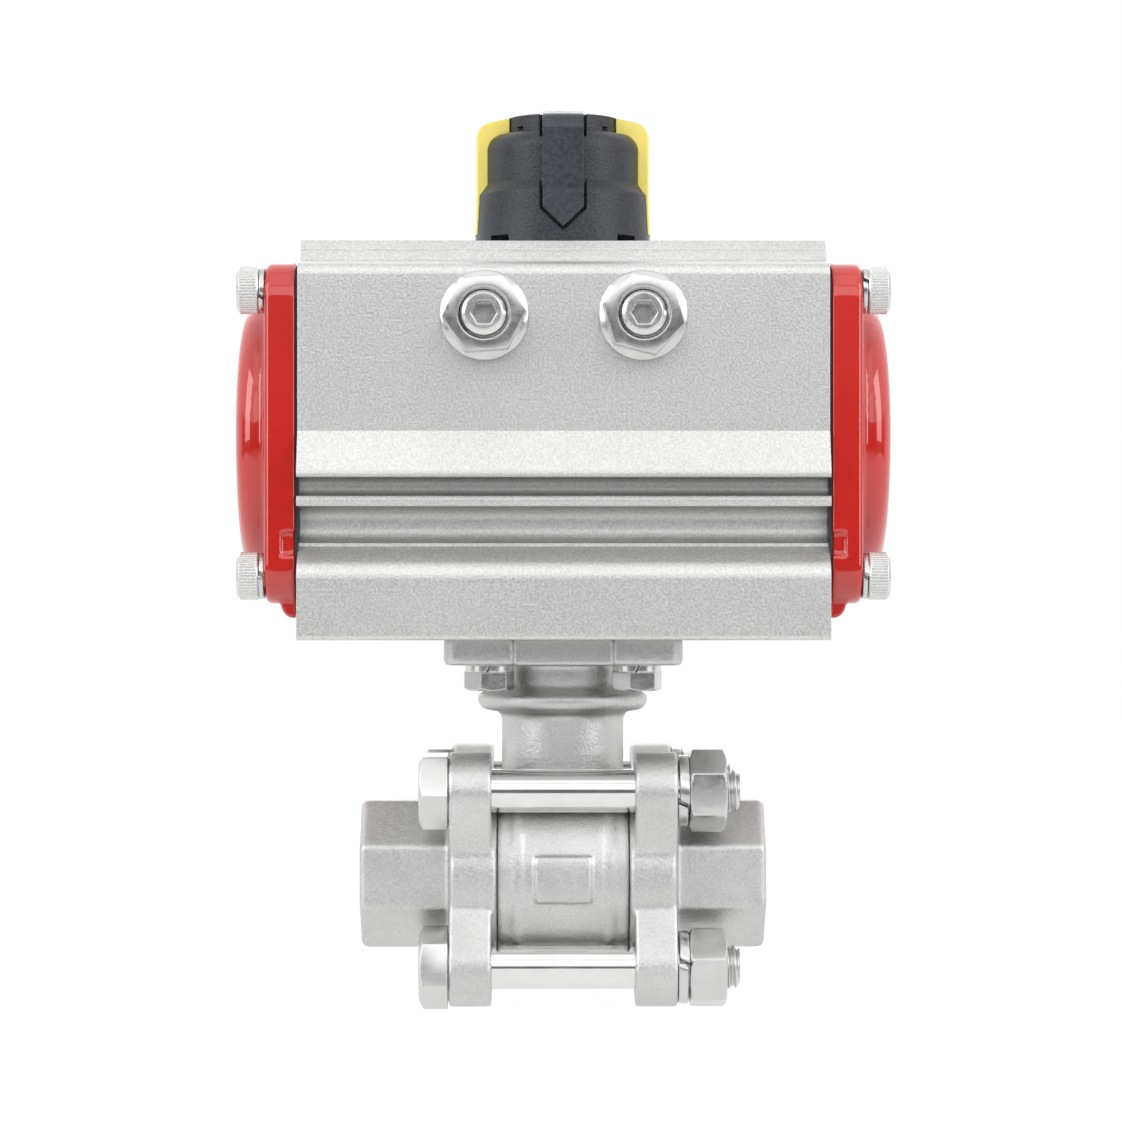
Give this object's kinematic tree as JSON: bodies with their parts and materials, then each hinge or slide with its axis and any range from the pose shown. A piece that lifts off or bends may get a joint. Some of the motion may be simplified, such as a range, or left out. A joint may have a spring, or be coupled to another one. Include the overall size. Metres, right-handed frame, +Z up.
{
  "type": "pneumatic ball valve",
  "caption": "Stainless three-piece ball valve with a red-capped rack and pinion air actuator and a position indicator on top.",
  "frame": {"origin": "centre of the ball, where the pipe axis meets the stem axis", "axes": "+X along the pipe to the right-hand end, +Y to the back where the air ports are, +Z up along the stem to the indicator"},
  "size_m": [0.1172, 0.0718, 0.1636],
  "materials": {
    "cast_steel": "bead-blasted stainless casting, satin",
    "machined_steel": "turned stainless, half polished",
    "screw_steel": "bright stainless screws and nuts",
    "aluminium_body": "bead-blasted and clear anodised extrusion",
    "red_paint": "glossy red powder coat with slight orange peel",
    "piston_alloy": "machined die casting",
    "pinion_steel": "nickel-plated steel",
    "black_plastic": "fine-grained blue-black plastic",
    "yellow_plastic": "satin yellow plastic",
    "ptfe": "white sealing plastic",
    "rubber": "black nitrile rubber",
    "acetal": "cream bearing plastic"
  },
  "bodies": {
    "housing": {"valve_body": "cast_steel", "end_cap_left": "cast_steel", "end_cap_right": "cast_steel", "seat_left": "ptfe", "seat_right": "ptfe", "body_seal_left": "ptfe", "body_seal_right": "ptfe", "stem_thrust_washer": "ptfe", "stem_packing": "ptfe", "gland_ring": "machined_steel", "tie_bolts": "screw_steel", "tie_bolt_washers": "screw_steel", "tie_bolt_nuts": "screw_steel", "pad_bolts": "screw_steel", "pad_bolt_washers": "screw_steel", "actuator_body": "aluminium_body", "cover_left": "red_paint", "cover_right": "red_paint", "cover_gasket_left": "rubber", "cover_gasket_right": "rubber", "cover_screws_left": "screw_steel", "cover_screws_right": "screw_steel", "cover_screw_washers": "screw_steel", "pinion_bush_lower": "acetal", "pinion_bush_upper": "acetal", "pinion_seals": "rubber", "pinion_washer": "acetal", "stop_nuts": "screw_steel"},
    "drive": {"ball": "machined_steel", "stem": "machined_steel", "stem_springs": "machined_steel", "stem_nut": "machined_steel", "pinion": "pinion_steel", "stop_cam": "pinion_steel", "pinion_clip": "machined_steel", "indicator_cup": "black_plastic", "indicator_bars": "yellow_plastic", "indicator_pointer": "black_plastic", "indicator_screw": "screw_steel"},
    "right_piston": {"piston_right": "piston_alloy", "piston_seal_right": "rubber", "piston_band_right": "acetal", "piston_guide_right": "acetal"},
    "left_piston": {"piston_left": "piston_alloy", "piston_seal_left": "rubber", "piston_band_left": "acetal", "piston_guide_left": "acetal"},
    "left_stop": {"stop_screw_left": "screw_steel"},
    "right_stop": {"stop_screw_right": "screw_steel"}
  },
  "joints": [
    {"name": "ball_turn", "type": "hinge", "parent": "housing", "child": "drive", "pos_m": [0, 0, 0], "axis": [0, 0, 1], "range_deg": [-90, 0]},
    {"name": "right_piston_slide", "type": "slide", "parent": "housing", "child": "right_piston", "axis": [1, 0, 0], "range_m": [-0.01415, 0]},
    {"name": "left_piston_slide", "type": "slide", "parent": "housing", "child": "left_piston", "axis": [-1, 0, 0], "range_m": [-0.01415, 0]},
    {"name": "left_stop_slide", "type": "slide", "parent": "housing", "child": "left_stop", "axis": [0, -1, 0], "range_m": [0, 0.003]},
    {"name": "right_stop_slide", "type": "slide", "parent": "housing", "child": "right_stop", "axis": [0, -1, 0], "range_m": [0, 0.003]}
  ],
  "couplings": [
    {"joint": "right_piston_slide", "follows": "ball_turn", "m_per_rad": 0.009},
    {"joint": "left_piston_slide", "follows": "ball_turn", "m_per_rad": 0.009}
  ]
}
